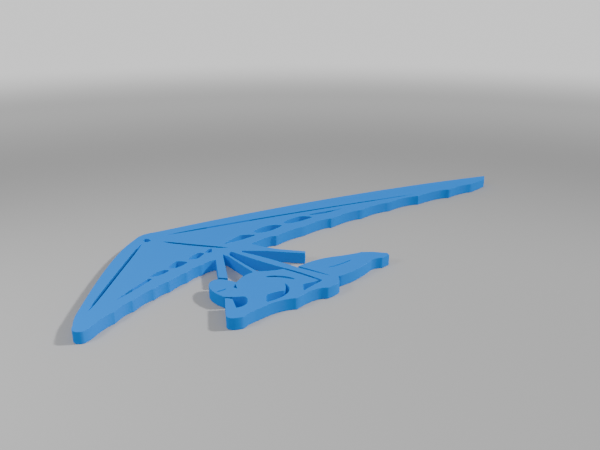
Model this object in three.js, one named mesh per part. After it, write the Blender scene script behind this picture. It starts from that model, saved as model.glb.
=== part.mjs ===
// A flat model of a hang glider with its pilot: one silhouette in 3 mm plastic, made of butted pieces.
// Millimetres. X runs along the wing span, Y from the pilot to the nose of the wing, Z up.
// The plate lies on its underside, with the origin in the middle of that underside.
import * as THREE from 'three';
import { mergeVertices } from 'three/addons/utils/BufferGeometryUtils.js';

// Driving dimensions
const THICKNESS = 3;
const SPAN = 150;
const SLOT = 0.8;            // width of the long slots in the wing
const SLIT = 0.75;           // width of the slit in the harness
const CURVE_STEPS = 10;
const SLOT_STEPS = 24;

const PLASTIC = new THREE.Color('#1d74c9');

// Curves, each given back as a list of [x, y] points that holds both of its ends
const along = (a, b, t) => [a[0] + (b[0] - a[0]) * t, a[1] + (b[1] - a[1]) * t];

// Point beside the line a-b: t along it, and out to its left by rise
function beside(a, b, t, rise) {
  const [x, y] = along(a, b, t);
  const length = Math.hypot(b[0] - a[0], b[1] - a[1]);
  return [x - (b[1] - a[1]) / length * rise, y + (b[0] - a[0]) / length * rise];
}

// Quadratic curve from one corner towards via and on to the next corner
function bow(from, via, to, steps = CURVE_STEPS) {
  return Array.from({ length: steps + 1 }, (_, i) => {
    const t = i / steps;
    return along(along(from, via, t), along(via, to, t), t);
  });
}

// Curve through the middle of a chord lifted to its left by rise
const arched = (from, to, rise, lean = 0.5, steps = CURVE_STEPS) =>
  bow(from, beside(from, to, lean, 2 * rise), to, steps);

// One side of a slot that follows a quadratic centre line and comes to a point at both ends.
// Its width changes evenly from width to endWidth.
function slotSide({ from, via, to, width, endWidth = width, steps = SLOT_STEPS }, side) {
  const centre = bow(from, via, to, steps);
  return centre.map((point, i) => {
    const t = i / steps;
    if (i === 0 || i === steps) return point;
    const taper = 1 - (2 * t - 1) ** 6;
    return beside(point, centre[i + 1], 0, side * taper * (width + (endWidth - width) * t) / 2);
  });
}

// Part of an ellipse about a centre, from one angle to another, in degrees
function oval([x, y], [halfWidth, halfHeight], fromDeg, toDeg, steps = CURVE_STEPS) {
  return Array.from({ length: steps + 1 }, (_, i) => {
    const angle = THREE.MathUtils.degToRad(fromDeg + (toDeg - fromDeg) * i / steps);
    return [x + halfWidth * Math.cos(angle), y + halfHeight * Math.sin(angle)];
  });
}

const LEFT_SIDE = 1;
const RIGHT_SIDE = -1;
const reversed = (edge) => [...edge].reverse();

// Corners of the wing
const nose = { left: [-44.6, 25.5], right: [-34.9, 27.2] };
const leftTip = { front: [-70.4, 0.3], side: [-74.1, -5.0], foot: [-73.6, -8.5], heel: [-70.6, -7.5],
  back: [-65.0, -5.5] };
const rightTip = { front: [43.5, 7.5], point: [SPAN / 2, -4.1], heel: [72.4, -5.9] };

// Long slots, each from its end nearest the nose or the centre to its outer end
const leftSlot = { from: [-42.6, 23.1], via: [-55.8, 11.0], to: [-69.1, -1.5], width: SLOT };
const rightSlot = { from: [-35.4, 23.9], via: [0.0, 14.6], to: [43.2, -0.4], width: 1.05, endWidth: 0.5 };
const keelSlot = { from: [-37.9, 20.5], via: [-32.9, 12.8], to: [-27.0, 5.6], width: SLOT };

// Where the inner sail of the right wing ends, and where the left sail meets the hub, as slot steps
const SAIL_END_STEP = 16;
const HUB_STEP = 18;

// A table's row as an object with its columns' names
const withNames = (columns) => (row) => Object.fromEntries(columns.map((column, i) => [column, row[i]]));

// Fin-shaped openings ahead of the trailing edge. Each runs from its thin start over a crest to a cusp.
// arch is the rise of its front edge, shoulder that of its outer side and belly that of its rear edge,
// and lean tells how far along the rear edge the belly hangs.
const asFin = withNames(['start', 'crest', 'cusp', 'arch', 'shoulder', 'belly', 'lean']);
const LEFT_FINS = [
  [[-62.3, -1.0], [-51.5, 3.6], [-51.0, 2.8], 0.2, 0.0, 0.2, 0.5],
  [[-50.9, 4.2], [-46.8, 5.3], [-45.6, 4.1], 0.4, 0.25, 0.7, 0.3],
  [[-45.0, 5.3], [-41.5, 7.4], [-39.6, 5.1], 0.45, 0.2, 0.9, 0.2],
  [[-38.6, 6.3], [-35.2, 8.1], [-33.6, 6.7], 0.4, 0.35, 1.0, 0.15],
  [[-33.2, 7.3], [-30.5, 8.1], [-31.5, 6.3], 0.4, 0.0, 0.35, 0.5],
];
const RIGHT_FINS = [
  [[-26.3, 8.4], [-19.6, 10.1], [-16.3, 7.5], 0.25, 0.25, 0.45, 0.4],
  [[-15.7, 9.7], [-9.9, 10.5], [-6.5, 7.9], 0.45, 0.5, 1.7, 0.2],
  [[-5.0, 9.5], [1.6, 9.9], [4.3, 7.0], 0.35, 0.4, 1.35, 0.1],
  [[4.9, 9.1], [8.0, 8.5], [16.2, 6.2], 0.1, -0.15, 0.95, 0.2],
];

// Front edge of a row of fins, from the first start to the last cusp
const finFronts = (rows) => rows.map(asFin).flatMap((fin) => [
  ...arched(fin.start, fin.crest, fin.arch),
  ...arched(fin.crest, fin.cusp, fin.shoulder),
]);

// Rear edge of the same row, between the same two points
const finRears = (rows) =>
  rows.map(asFin).flatMap((fin) => arched(fin.start, fin.cusp, -fin.belly, fin.lean));

// Scallops along the trailing edges, each up to the batten tip at its outer or inner end.
// rise is the height of its arc, and lean tells how far along the arc hooks down to the tip.
const asScallop = withNames(['tip', 'rise', 'lean']);
const ROOT = [-20.7, 3.5];
const RIGHT_SCALLOPS = [
  [[-12.6, 3.1], 0.95, 0.86],
  [[-2.4, 3.25], 0.5, 0.5],
  [[7.8, 2.3], 0.85, 0.82],
  [[19.5, 1.4], 0.8, 0.66],
  [[30.6, 0.2], 0.7, 0.55],
  [[41.8, -2.0], 0.9, 0.66],
];
const RIGHT_TIP_SCALLOPS = [
  [[54.4, -4.8], 0.9, 0.78],
  [[65.0, -6.3], 0.65, 0.5],
];
const LEFT_SCALLOPS = [
  [[-59.5, -3.6], 0.5, 0.75],
  [[-53.2, -1.8], 0.5, 0.75],
  [[-48.6, -0.9], 0.4, 0.7],
  [[-42.9, 0.4], 0.4, 0.7],
  [[-37.9, 1.5], 0.4, 0.6],
  [[-33.6, 1.6], 0.4, 0.5],
];

function scallops(start, rows) {
  const arcs = rows.map(asScallop);
  return arcs.flatMap(({ tip, rise, lean }, i) => arched(i ? arcs[i - 1].tip : start, tip, rise, lean));
}
const rightBandEnd = RIGHT_SCALLOPS.at(-1)[0];

// Corners of the hub, where the bars below the wing begin
const hub = { front: [-33.6, 1.6], fork: [-30.4, 3.0], loopLeft: [-29.2, 2.3], loopRight: [-27.4, 1.8],
  crotchLeft: [-25.8, 1.2], crotchRight: [-25.3, 1.6] };
const LOOP_RISE = 1.0;

// Shared edges of the wing
const leftSlotOuter = slotSide(leftSlot, RIGHT_SIDE);
const leftSlotInner = slotSide(leftSlot, LEFT_SIDE);
const rightSlotOuter = slotSide(rightSlot, LEFT_SIDE);
const rightSlotInner = slotSide(rightSlot, RIGHT_SIDE);
const keelSlotLeft = slotSide(keelSlot, RIGHT_SIDE);
const keelSlotRight = slotSide(keelSlot, LEFT_SIDE);
const noseSeam = bow(leftSlot.from, [-40.6, 20.6], keelSlot.from);
const leftFinEnd = asFin(LEFT_FINS.at(-1));

// Corners of the pilot
const head = { centre: [-40.4, -12.5], half: [3.3, 5.2] };
const neck = { back: [-36.9, -11.8], front: [-40.3, -18.0] };
const wrist = { front: [-43.5, -16.3], rear: [-42.4, -17.9] };
const hand = { top: [-47.7, -22.7], heel: [-45.0, -25.6], inner: [-44.0, -21.4], seamTop: [-41.0, -21.35],
  seamFoot: [-41.2, -25.0] };
const strap = { left: [-23.4, -13.9], right: [-20.9, -14.9], footLeft: [-20.9, -24.3],
  footRight: [-17.8, -24.1] };
const crescent = { left: [-37.3, -23.9], tip: [-28.6, -19.5], outer: [-29.7, -22.6] };
const footSlot = { tip: [-27.5, -25.2], top: [-25.9, -22.8] };
const knee = [-31.1, -27.0];
const strapFoot = { front: [-22.6, -27.9], rear: [-18.3, -27.5] };
const podNotch = [-16.6, -25.4];
const backSlit = { from: [-30.1, -13.9], via: [-26.5, -16.0], to: [-25.5, -19.6], width: SLIT };
const backSlitInner = slotSide(backSlit, RIGHT_SIDE);
const backSlitOuter = slotSide(backSlit, LEFT_SIDE);
const backTop = [-29.6, -10.4];

// Holes that lie inside one piece
const noseHole = [[-41.4, 24.7], [-41.6, 23.6], [-41.0, 22.9], [-39.9, 23.0], [-39.8, 24.5], [-40.5, 25.3]];
const visorSlit = { from: [-43.2, -12.4], via: [-41.9, -12.9], to: [-40.6, -12.7], width: 0.5, steps: 8 };
const podSlit = { from: [-15.2, -20.3], via: [-11.8, -21.1], to: [-7.7, -21.0], width: 0.4, steps: 12 };
const hole = (slot) => [...slotSide(slot, RIGHT_SIDE), ...reversed(slotSide(slot, LEFT_SIDE))];

// Outline of each piece, a ring of corners and shared edges, with the holes that lie inside it
const PIECES = {
  nose_plate: {
    edges: [nose.right, bow([-37.0, 27.7], [-40.2, 28.69], [-43.1, 26.4]), nose.left, noseSeam,
      rightSlot.from],
    holes: [noseHole],
  },
  left_leading_edge: {
    edges: [bow(nose.left, [-53.0, 20.4], leftTip.front), reversed(leftSlotOuter)],
  },
  left_sail: {
    edges: [leftSlotInner, finFronts(LEFT_FINS).slice(0, -CURVE_STEPS - 1),
      reversed(keelSlotLeft.slice(0, HUB_STEP + 1)), reversed(noseSeam)],
  },
  left_trailing_band: {
    edges: [leftSlot.to, scallops(leftTip.back, LEFT_SCALLOPS), reversed(finRears(LEFT_FINS))],
  },
  left_tip: {
    edges: [bow(leftTip.front, [-72.9, -2.4], leftTip.side), bow(leftTip.side, [-76.14, -7.4], leftTip.foot),
      bow(leftTip.foot, [-72.2, -8.4], leftTip.heel), arched(leftTip.heel, leftTip.back, 0.35, 0.65),
      leftSlot.to],
  },
  keel_hub: {
    edges: [hub.front, hub.fork, arched(hub.loopLeft, hub.loopRight, LOOP_RISE), hub.crotchLeft,
      hub.crotchRight, ROOT, asFin(RIGHT_FINS[0]).start, reversed(keelSlotLeft.slice(HUB_STEP)),
      leftFinEnd.crest, leftFinEnd.cusp],
  },
  right_leading_edge: {
    edges: [nose.right, rightSlotOuter, reversed(bow(nose.right, [6.9, 19.7], rightTip.front))],
  },
  right_sail: {
    edges: [rightSlot.from, keelSlotRight, finFronts(RIGHT_FINS),
      reversed(rightSlotInner.slice(0, SAIL_END_STEP + 1))],
  },
  right_trailing_band: {
    edges: [scallops(ROOT, RIGHT_SCALLOPS),
      reversed(rightSlotInner.slice(SAIL_END_STEP)), reversed(finRears(RIGHT_FINS))],
  },
  right_tip: {
    edges: [rightSlot.to, scallops(rightBandEnd, RIGHT_TIP_SCALLOPS), rightTip.heel, rightTip.point,
      reversed(bow(rightTip.front, [58.2, 2.7], rightTip.point))],
  },
  front_bar: {
    edges: [hub.front, [-38.7, -7.0], [-37.2, -8.7], hub.fork],
  },
  rear_bar: {
    edges: [hub.fork, bow([-30.0, 1.0], [-30.4, -3.5], [-30.7, -10.1]), backTop,
      reversed(bow(hub.loopLeft, [-29.6, -3.5], backTop))],
  },
  hang_strap: {
    edges: [hub.loopRight, bow(hub.loopRight, [-26.0, -6.0], strap.left),
      bow(strap.left, [-21.9, -18.0], strap.footLeft), strap.footRight,
      bow(strap.footRight, [-19.2, -20.0], strap.right),
      reversed(bow(hub.crotchLeft, [-22.9, -5.5], strap.right))],
  },
  keel_tail: {
    edges: [hub.crotchRight, [-20.4, -2.9], [-14.1, -10.4], [-13.1, -9.5],
      bow([-17.4, -4.0], [-19.4, -0.9], ROOT)],
  },
  helmet: {
    edges: [neck.back, oval(head.centre, head.half, 25, 205, 20),
      bow([-43.3, -15.4], [-42.6, -16.5], neck.front), bow(neck.front, [-38.8, -17.0], [-38.6, -14.4]),
      [-38.9, -13.2], [-37.6, -12.3]],
    holes: [hole(visorSlit)],
  },
  forearm: {
    edges: [hand.top, hand.inner, bow(wrist.rear, [-42.4, -16.9], wrist.front)],
  },
  hand: {
    edges: [bow(hand.top, [-48.6, -24.6], hand.heel), [-43.4, -25.1], hand.seamFoot,
      bow(hand.seamTop, [-42.4, -22.1], hand.inner)],
  },
  torso: {
    edges: [neck.back, [-37.6, -12.3], [-38.6, -14.4], bow([-38.6, -14.4], [-38.8, -17.0], neck.front),
      bow(neck.front, [-38.6, -19.0], hand.seamTop), crescent.left,
      bow(crescent.left, [-36.3, -21.6], [-35.2, -21.2]), bow([-35.2, -21.2], [-32.8, -21.4], [-31.0, -22.3]),
      bow([-31.0, -22.3], [-29.4, -21.4], crescent.tip), reversed(backSlitInner), backTop,
      bow([-30.7, -10.1], [-33.6, -9.6], neck.back)],
  },
  harness_back: {
    edges: [backTop, backSlitOuter, crescent.tip, bow(crescent.tip, [-28.7, -21.2], crescent.outer),
      footSlot.tip, footSlot.top, bow(footSlot.top, [-23.2, -23.6], [-21.5, -23.8]),
      reversed(bow([-24.1, -13.6], [-22.5, -18.0], [-21.5, -23.8])), [-27.3, -12.1]],
  },
  harness_belly: {
    edges: [hand.seamTop, hand.seamFoot, bow([-37.7, -25.0], [-33.6, -25.1], knee),
      bow(knee, [-24.6, -25.6], strapFoot.front), bow(strapFoot.front, [-20.0, -28.22], strapFoot.rear),
      podNotch, strap.footRight, strap.footLeft, footSlot.tip,
      bow(crescent.outer, [-32.0, -25.0], crescent.left)],
  },
  leg_pod: {
    edges: [[-20.3, -14.9], bow([-20.3, -14.9], [-18.6, -20.0], strap.footRight), podNotch,
      bow(podNotch, [-10.8, -26.4], [-4.1, -24.4]), bow([-4.1, -24.4], [-2.6, -24.2], [-0.8, -25.4]),
      [1.7, -25.3], [2.1, -24.3], [-0.2, -21.3], bow([-2.5, -19.4], [-5.5, -18.7], [-8.9, -17.1]),
      bow([-8.9, -17.1], [-13.0, -15.0], [-17.7, -14.9])],
    holes: [hole(podSlit)],
  },
};

// Plate of one piece: its outline and holes carried straight up
const isPoint = (item) => typeof item[0] === 'number';
const SAME = 1e-6;

function ring(edges) {
  const points = edges.flatMap((item) => (isPoint(item) ? [item] : item));
  return points
    .filter(([x, y], i) => {
      const [u, v] = points[(i + points.length - 1) % points.length];
      return Math.hypot(x - u, y - v) > SAME;
    })
    .map(([x, y]) => new THREE.Vector2(x, y));
}

function plate(name, { edges, holes = [] }) {
  const shape = new THREE.Shape(ring(edges));
  shape.holes = holes.map((points) => new THREE.Path(ring([points])));
  const extruded = new THREE.ExtrudeGeometry(shape, { depth: THICKNESS, bevelEnabled: false });
  extruded.deleteAttribute('normal');
  extruded.deleteAttribute('uv');
  const geometry = mergeVertices(extruded, 1e-4);
  geometry.computeVertexNormals();
  const material = new THREE.MeshStandardMaterial({ color: PLASTIC, roughness: 0.55, metalness: 0 });
  const mesh = new THREE.Mesh(geometry, material);
  mesh.name = name;
  return mesh;
}

const group = new THREE.Group();
Object.entries(PIECES).forEach(([name, piece]) => group.add(plate(name, piece)));

export default group;
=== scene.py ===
"""A flat hang glider with its pilot, in sky blue printed plastic, lying on a pale floor."""
import logging
import math
from dataclasses import dataclass, field
from enum import Enum

import bmesh
import bpy
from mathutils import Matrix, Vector
from mathutils.bvhtree import BVHTree


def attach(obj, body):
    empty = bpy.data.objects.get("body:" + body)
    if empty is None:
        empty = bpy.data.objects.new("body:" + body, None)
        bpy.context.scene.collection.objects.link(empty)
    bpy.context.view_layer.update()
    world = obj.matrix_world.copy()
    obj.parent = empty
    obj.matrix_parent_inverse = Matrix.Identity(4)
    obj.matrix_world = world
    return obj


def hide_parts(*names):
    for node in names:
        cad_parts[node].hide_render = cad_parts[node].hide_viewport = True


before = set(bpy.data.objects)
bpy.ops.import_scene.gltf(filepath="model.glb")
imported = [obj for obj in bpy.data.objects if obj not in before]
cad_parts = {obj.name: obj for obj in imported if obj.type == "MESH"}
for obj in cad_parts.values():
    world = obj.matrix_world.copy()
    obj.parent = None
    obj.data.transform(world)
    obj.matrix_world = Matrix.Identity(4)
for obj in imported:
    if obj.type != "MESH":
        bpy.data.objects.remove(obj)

LOG = logging.getLogger("hang_glider")
MM = 0.001
BODY = "root"
# Face attribute that is 1 on the walls of the thin slots, where shade is painted in as a deeper
# blue, and 0 elsewhere.
SLOT_SHADE_MARK = "painted_slot_shade"
# Waves in tau metres of a wave texture at scale 1: along an axis, and slanting across a level face.
AXIS_WAVES = 20
SLANTING_WAVES = 10 * math.sqrt(2)


class Facing(Enum):
    """Which way a face of the flat plate looks, as the sign of its normal along Z."""

    UP = 1
    DOWN = -1


class RimForm(Enum):
    """How the rim between a flat face and a wall is finished, as the bevel's profile."""

    ROUND = 0.5
    CHAMFER = 0.25


def linear(hex_colour: str) -> tuple[float, float, float, float]:
    """Turns an sRGB hex colour into Blender's linear RGBA.

    Args:
        hex_colour: Six hex digits after a hash sign.

    Returns:
        Linear red, green and blue, and an alpha of 1.
    """
    channels = [int(hex_colour[i:i + 2], 16) / 255 for i in (1, 3, 5)]
    # The sRGB curve is a straight line near black and a power above it.
    lin = [c / 12.92 if c <= 0.04045 else ((c + 0.055) / 1.055) ** 2.4 for c in channels]
    return (*lin, 1.0)


def heading(azimuth_deg: float, elevation_deg: float) -> Vector:
    """Gives the direction at an azimuth from +X towards +Y and an elevation above the floor.

    Args:
        azimuth_deg: Azimuth in degrees.
        elevation_deg: Elevation in degrees, negative below the horizon.

    Returns:
        A vector of length 1.
    """
    azimuth, elevation = math.radians(azimuth_deg), math.radians(elevation_deg)
    level = math.cos(elevation)
    return Vector((math.cos(azimuth) * level, math.sin(azimuth) * level, math.sin(elevation)))


def blank_material(name: str) -> bpy.types.Material:
    """Makes a material with an empty node tree.

    Args:
        name: The material's name.

    Returns:
        The material.
    """
    material = bpy.data.materials.new(name)
    material.use_nodes = True
    material.node_tree.nodes.clear()
    return material


def add_node(tree: bpy.types.NodeTree, kind: str, inputs: dict[str | int, object] | None = None,
             **settings: object) -> bpy.types.Node:
    """Adds one shader node with its settings, socket values and incoming links.

    Args:
        tree: Node tree of the material.
        kind: Blender's name of the node type.
        inputs: Socket name or index to a value, or to the output socket that feeds it.
        **settings: Properties of the node itself.

    Returns:
        The new node.
    """
    node = tree.nodes.new(kind)
    for name, value in settings.items():
        setattr(node, name, value)
    for socket, value in (inputs or {}).items():
        if isinstance(value, bpy.types.NodeSocket):
            tree.links.new(value, node.inputs[socket])
        else:
            node.inputs[socket].default_value = value
    return node


def select_only(obj: bpy.types.Object) -> None:
    """Selects one object, makes it active and drops every other selection.

    Args:
        obj: The object to work on.
    """
    bpy.ops.object.select_all(action="DESELECT")
    obj.select_set(True)
    bpy.context.view_layer.objects.active = obj


@dataclass(frozen=True)
class PrintedPlastic:
    """Sky blue PLA, printed flat in thin layers: opaque and matt, with faint nozzle lines. Its thin
    slots get painted shade.
    """

    name: str = "printed_pla_sky_blue_and_painted_slot_shade"
    # Pigment all through, so faces and walls have one colour, which changes a little in patches.
    blue: str = "#1a75cc"
    patch_blue: str = "#1a73c9"
    # Painted shade: the walls of the thin slots are painted a deeper blue, for shade that the lamps
    # alone leave too light there.
    slot_painted_shade_blue: str = "#185fa6"
    # PLA has an index of 1.46. Its fine grain scatters the light, so no lamp is mirrored in it.
    ior: float = 1.46
    roughness: float = 0.75
    specular: float = 0.0
    # Patches of about 9 mm, where the print cooled a little slower or faster.
    patch_mm: float = 9.0
    # Grain of 0.12 mm, as the cooling skin has, which softens the tone of every face.
    grain_mm: float = 0.12
    # Layers are 0.2 mm thick, too fine to show on the walls, so they are drawn twice as coarse.
    layer_mm: float = 0.4
    # The lines on the flat faces are one nozzle wide.
    line_mm: float = 0.4
    # Height of the relief, and the shares of it that the grain, the layers and the lines have.
    relief_mm: float = 0.02
    grain_share: float = 0.12
    layer_share: float = 0.1
    line_share: float = 0.06

    def build(self) -> bpy.types.Material:
        """Builds the plastic's node tree.

        Returns:
            The material, ready to put on a piece.
        """
        material = blank_material(self.name)
        tree = material.node_tree
        place = add_node(tree, "ShaderNodeTexCoord")
        shader = add_node(tree, "ShaderNodeBsdfPrincipled", {
            "Base Color": self._colour(tree, place.outputs["Object"]),
            "Roughness": self.roughness,
            "IOR": self.ior,
            "Specular IOR Level": self.specular,
            "Normal": self._relief(tree, place),
        })
        add_node(tree, "ShaderNodeOutputMaterial", {"Surface": shader.outputs["BSDF"]})
        return material

    def _colour(self, tree: bpy.types.NodeTree,
                place: bpy.types.NodeSocket) -> bpy.types.NodeSocket:
        """Mixes two close blues in soft patches, and paints shade as a deeper blue on the thin
        slots' walls.

        Args:
            tree: The material's node tree.
            place: Object coordinates.

        Returns:
            The socket that holds the colour.
        """
        patches = add_node(tree, "ShaderNodeTexNoise", {
            "Vector": place, "Scale": 1 / (self.patch_mm * MM), "Detail": 2.0})
        blues = add_node(tree, "ShaderNodeMix", {
            "Factor": patches.outputs["Fac"], "A": linear(self.blue),
            "B": linear(self.patch_blue)}, data_type="RGBA")
        # Painted shade: where the slot mark is 1, the deeper blue is mixed in.
        slots = add_node(tree, "ShaderNodeAttribute", attribute_name=SLOT_SHADE_MARK)
        deeper = add_node(tree, "ShaderNodeMix", {
            "Factor": slots.outputs["Fac"], "A": blues.outputs["Result"],
            "B": linear(self.slot_painted_shade_blue)}, data_type="RGBA")
        return deeper.outputs["Result"]

    def _relief(self, tree: bpy.types.NodeTree, place: bpy.types.Node) -> bpy.types.NodeSocket:
        """Lays fine grain all over, layers on the walls and slanting lines on the flat faces.

        Args:
            tree: The material's node tree.
            place: The texture coordinate node.

        Returns:
            The socket that holds the normal.
        """
        grain = add_node(tree, "ShaderNodeTexNoise", {
            "Vector": place.outputs["Object"], "Scale": 1 / (self.grain_mm * MM), "Detail": 1.0})
        skin = self._bump(tree, grain.outputs["Fac"], self.grain_share)
        layers = add_node(tree, "ShaderNodeTexWave", {
            "Vector": place.outputs["Object"],
            "Scale": math.tau / (AXIS_WAVES * self.layer_mm * MM)},
            wave_type="BANDS", bands_direction="Z")
        walls = self._bump(tree, layers.outputs["Fac"], self.layer_share, skin)
        lines = add_node(tree, "ShaderNodeTexWave", {
            "Vector": place.outputs["Object"],
            "Scale": math.tau / (SLANTING_WAVES * self.line_mm * MM)},
            wave_type="BANDS", bands_direction="DIAGONAL")
        facing = add_node(tree, "ShaderNodeSeparateXYZ", {"Vector": place.outputs["Normal"]})
        flat = add_node(tree, "ShaderNodeMath", {0: facing.outputs["Z"]}, operation="ABSOLUTE")
        on_flat = add_node(tree, "ShaderNodeMath", {
            0: lines.outputs["Fac"], 1: flat.outputs["Value"]}, operation="MULTIPLY")
        return self._bump(tree, on_flat.outputs["Value"], self.line_share, walls)

    def _bump(self, tree: bpy.types.NodeTree, height: bpy.types.NodeSocket, share: float,
              under: bpy.types.NodeSocket | None = None) -> bpy.types.NodeSocket:
        """Adds one relief on top of another.

        Args:
            tree: The material's node tree.
            height: The socket that holds the relief's height.
            share: Share of the relief that shows.
            under: The socket that holds the normal of the relief below it.

        Returns:
            The socket that holds the new normal.
        """
        sockets = {"Height": height, "Strength": share, "Distance": self.relief_mm * MM}
        if under is not None:
            sockets["Normal"] = under
        return add_node(tree, "ShaderNodeBump", sockets).outputs["Normal"]


@dataclass
class Plate:
    """One piece of the flat plate, modelled on a copy of its node in the frame."""

    node: str
    rim_mm: float
    foot_mm: float
    # A slot wall gets painted shade only where its normal has more than this along Y.
    slot_shade_turn: float
    # Corners closer than this become one, and so do faces that are turned by less than this.
    weld_mm: float = 0.002
    merge_deg: float = 0.05
    # A flat face's normal has more than this along Z, and a wall's less than that.
    flat_z: float = 0.99
    wall_z: float = 0.1
    # Steps across a bevel, and the width of the arc round its outer corners.
    steps: int = 3
    arc_mm: float = 0.02
    # A wall is free where nothing stands this far outside it, at these shares of its length.
    clear_mm: float = 0.03
    clear_shares: tuple[float, ...] = (0.1, 0.5, 0.9)
    # The rays that look for a neighbour come down from this far above the rim.
    ray_mm: float = 20.0
    # Edges that meet at more than this angle go on almost straight.
    straight_deg: float = 150.0
    # Walls that meet at less than this angle are one smooth curve.
    smooth_deg: float = 32.0
    # Slots between these widths get painted shade. The finest slits, such as the visor's, are left
    # out and show paler.
    slot_mm: tuple[float, float] = (0.52, 0.85)
    # A slot is measured from this far in front of its wall, on faces that lean less than this.
    lift_mm: float = 0.01
    lean_z: float = 0.5
    name: str = field(init=False)

    def __post_init__(self) -> None:
        """Names the piece after its node."""
        self.name = f"{self.node}_print"

    def build(self, around: BVHTree) -> bpy.types.Object:
        """Models the piece: merged faces, softened free rims, even shading and slot walls marked
        for painted shade.

        Args:
            around: Every solid of the frame, to tell a free wall from a joint.

        Returns:
            The finished piece.
        """
        piece = bpy.data.objects.new(self.name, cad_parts[self.node].data.copy())
        bpy.context.scene.collection.objects.link(piece)
        select_only(piece)
        self._merge()
        self._soften(piece, around, Facing.UP, self.rim_mm, RimForm.ROUND)
        self._soften(piece, around, Facing.DOWN, self.foot_mm, RimForm.CHAMFER)
        self._shade(piece)
        self._mark_slot_shade(piece, around)
        return piece

    def _merge(self) -> None:
        """Joins the loose triangles into plain faces: flat top and underside, upright walls."""
        bpy.ops.object.mode_set(mode="EDIT")
        bpy.ops.mesh.select_all(action="SELECT")
        bpy.ops.mesh.remove_doubles(threshold=self.weld_mm * MM)
        bpy.ops.mesh.dissolve_limited(angle_limit=math.radians(self.merge_deg))
        bpy.ops.object.mode_set(mode="OBJECT")

    def _soften(self, piece: bpy.types.Object, around: BVHTree, facing: Facing, width_mm: float,
                form: RimForm) -> None:
        """Bevels the free rim of the top or the underside, and leaves the joints sharp.

        Args:
            piece: The piece, selected and active.
            around: Every solid of the frame.
            facing: The flat face whose rim is bevelled.
            width_mm: Width of the bevel in millimetres.
            form: Round or chamfered.
        """
        bpy.ops.object.mode_set(mode="EDIT")
        bpy.ops.mesh.select_all(action="DESELECT")
        bpy.ops.mesh.select_mode(type="EDGE")
        mesh = bmesh.from_edit_mesh(piece.data)
        mesh.normal_update()
        rims, joints = [], []
        for edge in mesh.edges:
            flat = [f for f in edge.link_faces if f.normal.z * facing.value > self.flat_z]
            wall = [f for f in edge.link_faces if abs(f.normal.z) < self.wall_z]
            if len(flat) == 1 and len(wall) == 1:
                (rims if self._is_free(edge, wall[0].normal, around) else joints).append(edge)
        rims = [edge for edge in rims if not self._runs_into(edge, joints)]
        for edge in rims:
            edge.select = True
        bmesh.update_edit_mesh(piece.data)
        if rims:
            bpy.ops.mesh.bevel(
                offset=width_mm * MM, offset_type="OFFSET", affect="EDGES", segments=self.steps,
                profile=form.value, clamp_overlap=False, miter_outer="ARC",
                spread=self.arc_mm * MM)
        bpy.ops.object.mode_set(mode="OBJECT")

    def _is_free(self, edge: bmesh.types.BMEdge, outwards: Vector, around: BVHTree) -> bool:
        """Tells whether nothing stands against the wall along a rim edge.

        Args:
            edge: An edge between a flat face and a wall.
            outwards: The wall's normal.
            around: Every solid of the frame.

        Returns:
            True where points just outside the wall are in open air.
        """
        start, end = (corner.co for corner in edge.verts)
        above, down = Vector((0, 0, self.ray_mm * MM)), Vector((0, 0, -1))
        for share in self.clear_shares:
            outside = start.lerp(end, share) + outwards * self.clear_mm * MM
            if around.ray_cast(outside + above, down)[0] is not None:
                return False
        return True

    def _runs_into(self, edge: bmesh.types.BMEdge, joints: list[bmesh.types.BMEdge]) -> bool:
        """Tells whether a rim edge goes on almost straight into a joint, where a bevel gapes.

        Args:
            edge: A free rim edge.
            joints: The rim edges that stand against another piece.

        Returns:
            True where a joint carries the edge on almost straight.
        """
        for joint in joints:
            for corner in set(edge.verts) & set(joint.verts):
                here = edge.other_vert(corner).co - corner.co
                there = joint.other_vert(corner).co - corner.co
                if here.angle(there) > math.radians(self.straight_deg):
                    return True
        return False

    def _shade(self, piece: bpy.types.Object) -> None:
        """Smooths curved walls and keeps the large faces flat.

        Args:
            piece: The piece, selected and active.
        """
        bpy.ops.object.shade_smooth_by_angle(angle=math.radians(self.smooth_deg))
        weighted = piece.modifiers.new("even_faces", "WEIGHTED_NORMAL")
        weighted.keep_sharp = True
        bpy.ops.object.modifier_apply(modifier=weighted.name)

    def _mark_slot_shade(self, piece: bpy.types.Object, around: BVHTree) -> None:
        """Marks the walls of the thin slots in an attribute, where the plastic paints shade.

        Args:
            piece: The shaded piece.
            around: Every solid of the frame.
        """
        marks = piece.data.attributes.new(SLOT_SHADE_MARK, "FLOAT", "FACE")
        for face in piece.data.polygons:
            if abs(face.normal.z) < self.lean_z and abs(face.normal.y) > self.slot_shade_turn:
                outside = face.center + face.normal * self.lift_mm * MM
                width = around.ray_cast(outside, face.normal)[3]
                is_slot = width is not None and self.slot_mm[0] < width / MM < self.slot_mm[1]
                marks.data[face.index].value = float(is_slot)


@dataclass
class SubAssembly:
    """A group of neighbouring pieces that share their rim sizes, marks for painted slot shade and
    finish.
    """

    title: str
    nodes: tuple[str, ...]
    rim_mm: float = 0.06
    foot_mm: float = 0.1
    # A slot's wall gets painted shade where its normal has more than this along Y. Others lie in
    # shade already.
    slot_shade_turn: float = 0.35

    def build(self, around: BVHTree) -> list[bpy.types.Object]:
        """Models every piece of the group.

        Args:
            around: Every solid of the frame.

        Returns:
            The pieces, in the order of their nodes.
        """
        pieces = []
        for node in self.nodes:
            piece = Plate(node, self.rim_mm, self.foot_mm, self.slot_shade_turn).build(around)
            LOG.info("%s: %s has %d faces", self.title, piece.name, len(piece.data.polygons))
            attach(piece, BODY)
            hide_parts(node)
            pieces.append(piece)
        return pieces

    def dress(self, pieces: list[bpy.types.Object], plastic: bpy.types.Material) -> None:
        """Puts the plastic on every piece of the group.

        Args:
            pieces: The pieces of the group.
            plastic: The material.
        """
        for piece in pieces:
            piece.data.materials.clear()
            piece.data.materials.append(plastic)


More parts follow.
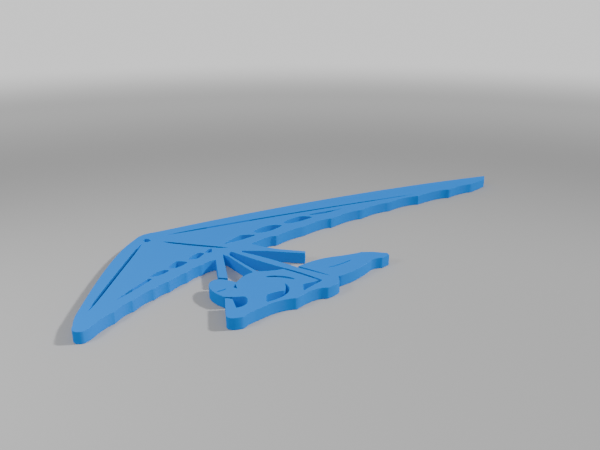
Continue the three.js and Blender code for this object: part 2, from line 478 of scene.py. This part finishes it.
@dataclass
class Wing(SubAssembly):
    """Both sides of the wing with its nose and tips."""

    title: str = "wing"
    nodes: tuple[str, ...] = (
        "nose_plate", "left_leading_edge", "left_sail", "left_trailing_band", "left_tip",
        "right_leading_edge", "right_sail", "right_trailing_band", "right_tip")


@dataclass
class ControlFrame(SubAssembly):
    """The hub below the wing with its bars, strap and keel."""

    title: str = "control frame"
    nodes: tuple[str, ...] = ("keel_hub", "front_bar", "rear_bar", "hang_strap", "keel_tail")
    # Painted shade goes on the walls of every thin slot in the frame.
    slot_shade_turn: float = 0.0


@dataclass
class Pilot(SubAssembly):
    """The lying pilot: helmet, arm and upper body."""

    title: str = "pilot"
    nodes: tuple[str, ...] = ("helmet", "forearm", "hand", "torso")


@dataclass
class Harness(SubAssembly):
    """The harness and the pod that holds the legs."""

    title: str = "harness"
    nodes: tuple[str, ...] = ("harness_back", "harness_belly", "leg_pod")
    # Painted shade goes only on slot walls whose normal has more than this along Y.
    slot_shade_turn: float = 0.7


@dataclass(frozen=True)
class Floor:
    """A matt floor with painted light and shade: grey near the model, darker behind it and almost
    white far away.
    """

    size_m: float = 3.0
    # The floor lies this far under the plate, so that the two faces don't fall together.
    below_mm: float = 0.02
    # Painted light and shade: the grey at each distance from one point, up to the reach, darkens
    # past the model and pales to near white far off. The point lies near the camera's foot, and the
    # four greys are thinned from a fit to the tones of the photograph's floor.
    middle_mm: tuple[float, float] = (-120.0, -140.0)
    tones: tuple[tuple[float, str], ...] = (
        (165.0, "#9f9f9f"), (275.0, "#888888"), (375.0, "#9d9d9d"), (510.0, "#d6d6d6"))
    reach_mm: float = 600.0
    # Matt paint mirrors nothing.
    roughness: float = 0.9
    specular: float = 0.0

    def build(self) -> None:
        """Makes the floor and lays the painted light and shade on it."""
        bpy.ops.object.select_all(action="DESELECT")
        bpy.ops.mesh.primitive_plane_add(size=self.size_m, location=(0, 0, -self.below_mm * MM))
        floor = bpy.context.object
        floor.name = "studio_floor"
        floor.data.materials.append(self._paint())

    def _paint(self) -> bpy.types.Material:
        """Paints light and shade as a grey that changes softly with the distance from one point.

        Returns:
            The paint.
        """
        material = blank_material("floor_painted_light_and_shade")
        tree = material.node_tree
        place = add_node(tree, "ShaderNodeTexCoord").outputs["Object"]
        distance = add_node(tree, "ShaderNodeVectorMath", {
            0: place, 1: (*(c * MM for c in self.middle_mm), 0.0)}, operation="DISTANCE")
        share = add_node(tree, "ShaderNodeMath", {
            0: distance.outputs["Value"], 1: self.reach_mm * MM}, operation="DIVIDE")
        ramp = add_node(tree, "ShaderNodeValToRGB", {"Fac": share.outputs["Value"]})
        ramp.color_ramp.interpolation = "EASE"
        stops = ramp.color_ramp.elements
        while len(stops) < len(self.tones):
            stops.new(1.0)
        for stop, (distance_mm, tone) in zip(stops, self.tones):
            stop.position = distance_mm / self.reach_mm
            stop.color = linear(tone)
        shader = add_node(tree, "ShaderNodeBsdfPrincipled", {
            "Base Color": ramp.outputs["Color"], "Roughness": self.roughness,
            "Specular IOR Level": self.specular})
        add_node(tree, "ShaderNodeOutputMaterial", {"Surface": shader.outputs["BSDF"]})
        return material


@dataclass(frozen=True)
class Sun:
    """A far lamp that lights everything from one direction."""

    name: str
    azimuth_deg: float
    elevation_deg: float
    strength: float
    spread_deg: float = 0.0
    casts_shadow: bool = False

    def build(self) -> None:
        """Adds the lamp and points it at the model."""
        towards = heading(self.azimuth_deg, self.elevation_deg)
        bpy.ops.object.light_add(type="SUN", location=towards)
        lamp = bpy.context.object
        lamp.name = self.name
        lamp.data.energy = self.strength
        lamp.data.angle = math.radians(self.spread_deg)
        lamp.data.use_shadow = self.casts_shadow
        lamp.rotation_mode = "QUATERNION"
        lamp.rotation_quaternion = towards.to_track_quat("Z", "Y")


@dataclass(frozen=True)
class Studio:
    """Plain soft studio light: a dome, a key lamp, weak fills and a soft lamp on the left."""

    dome_hex: str = "#ffffff"
    dome_strength: float = 0.48
    suns: tuple[Sun, ...] = (
        Sun("key_lamp", azimuth_deg=-35.0, elevation_deg=37.0, strength=3.8, spread_deg=5.0,
            casts_shadow=True),
        Sun("overhead_fill", azimuth_deg=0.0, elevation_deg=90.0, strength=0.73),
        Sun("far_left_fill", azimuth_deg=120.0, elevation_deg=0.0, strength=1.2),
        Sun("near_fill", azimuth_deg=-92.0, elevation_deg=0.0, strength=0.8))
    left_place_mm: tuple[float, float, float] = (-150.0, 0.0, 100.0)
    left_watts: float = 0.32
    left_radius_mm: float = 20.0

    def build(self) -> None:
        """Makes the floor, the dome and the lamps."""
        Floor().build()
        world = bpy.data.worlds.new("dome")
        world.use_nodes = True
        background = world.node_tree.nodes["Background"]
        background.inputs["Color"].default_value = linear(self.dome_hex)
        background.inputs["Strength"].default_value = self.dome_strength
        bpy.context.scene.world = world
        for sun in self.suns:
            sun.build()
        self._left_lamp()

    def _left_lamp(self) -> None:
        """Adds the soft round lamp to the left of the model."""
        bpy.ops.object.light_add(type="POINT", location=[c * MM for c in self.left_place_mm])
        lamp = bpy.context.object
        lamp.name = "left_lamp"
        lamp.data.energy = self.left_watts
        lamp.data.shadow_soft_size = self.left_radius_mm * MM


@dataclass(frozen=True)
class Camera:
    """The photograph's viewpoint."""

    place_mm: tuple[float, float, float] = (-116.55, -125.11, 74.80)
    azimuth_deg: float = 48.698
    depression_deg: float = 22.553
    lens_mm: float = 39.40
    sensor_mm: float = 36.0
    # Nearest and farthest distance that is drawn.
    clip_m: tuple[float, float] = (0.005, 20.0)

    def build(self) -> None:
        """Makes the camera and gives it to the scene."""
        forward = heading(self.azimuth_deg, -self.depression_deg)
        bpy.ops.object.camera_add(location=Vector(self.place_mm) * MM)
        camera = bpy.context.object
        camera.name = "photo_camera"
        camera.rotation_mode = "QUATERNION"
        camera.rotation_quaternion = forward.to_track_quat("-Z", "Y")
        camera.data.lens = self.lens_mm
        camera.data.sensor_width = self.sensor_mm
        camera.data.clip_start, camera.data.clip_end = self.clip_m
        bpy.context.scene.camera = camera


def solids_around() -> BVHTree:
    """Gathers every solid of the frame into one tree for ray casts.

    Returns:
        The tree.
    """
    corners, faces = [], []
    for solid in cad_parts.values():
        first = len(corners)
        corners += [v.co.copy() for v in solid.data.vertices]
        faces += [[first + i for i in p.vertices] for p in solid.data.polygons]
    return BVHTree.FromPolygons(corners, faces)


def main() -> None:
    """Builds the camera, the studio and the model in order."""
    logging.basicConfig(level=logging.INFO, format="%(name)s %(message)s")
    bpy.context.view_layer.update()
    bpy.context.scene.view_settings.view_transform = "AgX"
    Camera().build()
    Studio().build()
    plastic = PrintedPlastic().build()
    around = solids_around()
    for group in (Wing(), ControlFrame(), Pilot(), Harness()):
        group.dress(group.build(around), plastic)


if __name__ == "__main__":
    main()
